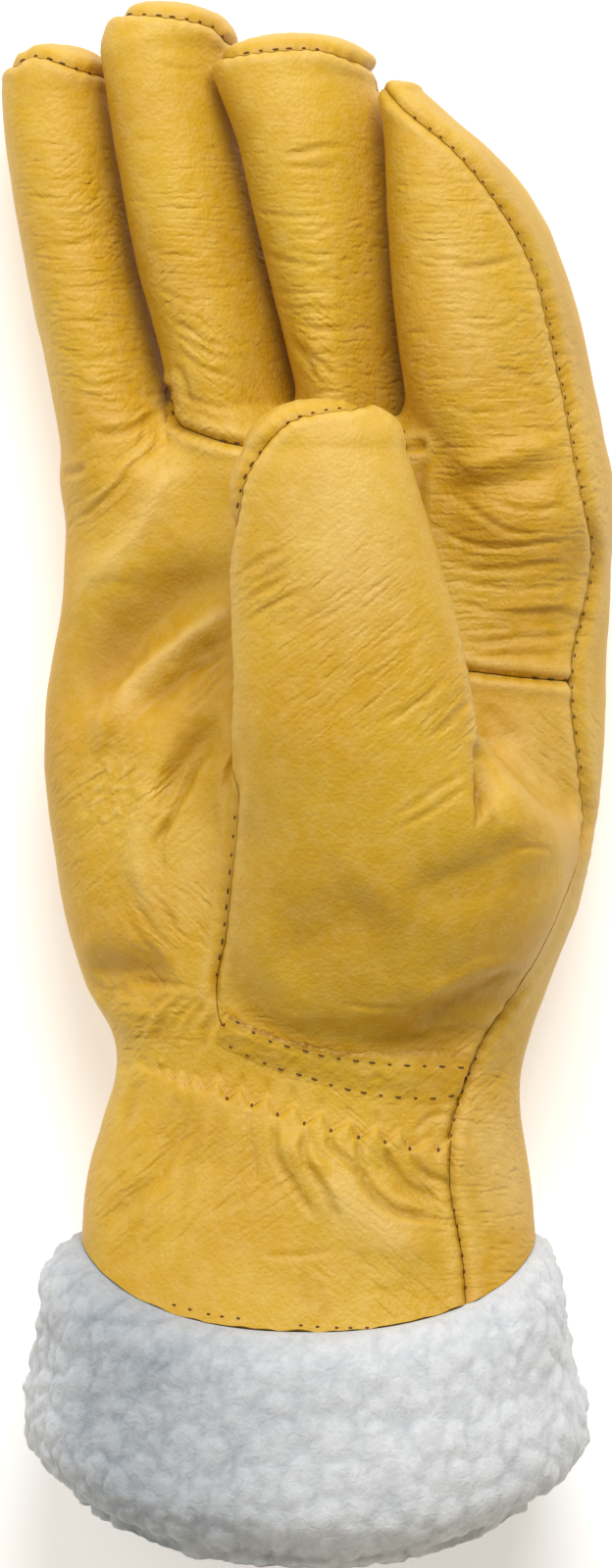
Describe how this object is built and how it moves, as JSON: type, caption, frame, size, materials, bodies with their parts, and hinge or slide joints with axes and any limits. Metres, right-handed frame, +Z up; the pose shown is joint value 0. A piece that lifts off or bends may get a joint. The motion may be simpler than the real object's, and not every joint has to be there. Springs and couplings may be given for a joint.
{
  "type": "insulated work glove",
  "caption": "Right-hand insulated work glove of yellow grain leather, palm up, with a gathered wrist and a thick fleece cuff turned out past the hem.",
  "frame": {"origin": "the point under the middle of the glove's box, on the surface that the glove lies on", "axes": "+Y to the fingertips, +Z up out of the palm, +X to the index finger's side"},
  "size_m": [0.1143, 0.2936, 0.0759],
  "materials": {
    "grain_leather": "golden yellow full-grain leather, softly creased, satin",
    "strip_leather": "golden yellow leather strip with a raw upper edge and two rows of dark stitches",
    "fleece": "off-white curly pile fleece, matt"
  },
  "bodies": {
    "root": {"palm_panel": "grain_leather", "ring_middle_front": "grain_leather", "index_front": "grain_leather", "thumb_front": "grain_leather", "thumb_back": "grain_leather", "back_panel": "grain_leather", "wrist_strip": "strip_leather", "fleece_cuff": "fleece"}
  },
  "joints": []
}
